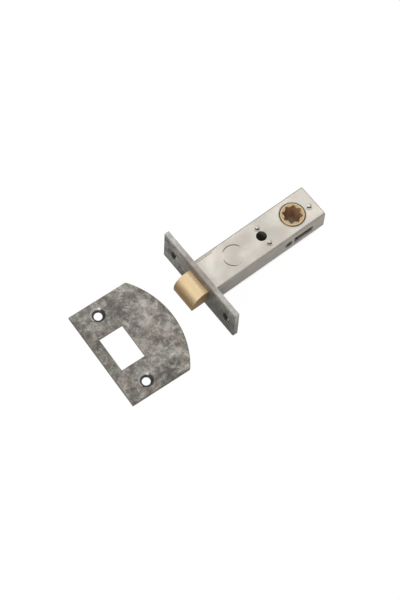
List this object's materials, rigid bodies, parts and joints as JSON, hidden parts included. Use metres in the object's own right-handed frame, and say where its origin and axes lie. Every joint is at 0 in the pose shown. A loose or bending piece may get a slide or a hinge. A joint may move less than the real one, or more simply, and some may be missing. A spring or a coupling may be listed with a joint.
{
  "type": "tubular door latch",
  "caption": "Tubular door latch: folded steel case, forend with a sprung rounded bolt, star-holed follower, and a D-shaped strike plate lying beside it.",
  "frame": {"origin": "centre of the forend's front face, midway between its two screw holes and on the axis of the bolt", "axes": "+X back along the case, +Y along the forend, +Z out of the case's broad face, which faces up as the latch lies"},
  "size_m": [0.1365, 0.0586, 0.023],
  "materials": {
    "aged_nickel": "tumbled, aged nickel plate with mottled grey patches",
    "zinc_steel": "satin zinc-plated sheet",
    "rivet_steel": "satin, staked ends",
    "inner_steel": "dull, as cut",
    "spring_steel": "oiled steel",
    "guide_plastic": "moulded acetal",
    "brass": "fine satin brass",
    "follower_brass": "machined brass"
  },
  "bodies": {
    "case": {"forend_plate": "aged_nickel", "case_shell": "zinc_steel", "front_guide": "guide_plastic", "saddle_block": "inner_steel", "guide_pin": "spring_steel", "spring_washer": "spring_steel", "bolt_spring": "spring_steel", "rear_block": "inner_steel", "case_rivet_left": "rivet_steel", "case_rivet_right": "rivet_steel", "case_rivet_rear": "rivet_steel", "strike_plate": "aged_nickel"},
    "bolt": {"latch_bolt": "brass", "retractor_yoke": "spring_steel", "yoke_rivet_left": "spring_steel", "yoke_rivet_right": "spring_steel"},
    "follower": {"follower_hub": "follower_brass"}
  },
  "joints": [
    {"name": "follower_turn", "type": "hinge", "parent": "case", "child": "follower", "pos_m": [0.06, 0, 0], "axis": [0, 0, 1], "range_deg": [0, 62]},
    {"name": "bolt_slide", "type": "slide", "parent": "case", "child": "bolt", "axis": [1, 0, 0], "range_m": [0, 0.0094], "stiffness_N_per_m": 300, "springref_m": -0.008, "deforming": ["bolt_spring"]}
  ],
  "couplings": [
    {"joint": "follower_turn", "follows": "bolt_slide", "rad_per_m": 115.1}
  ]
}
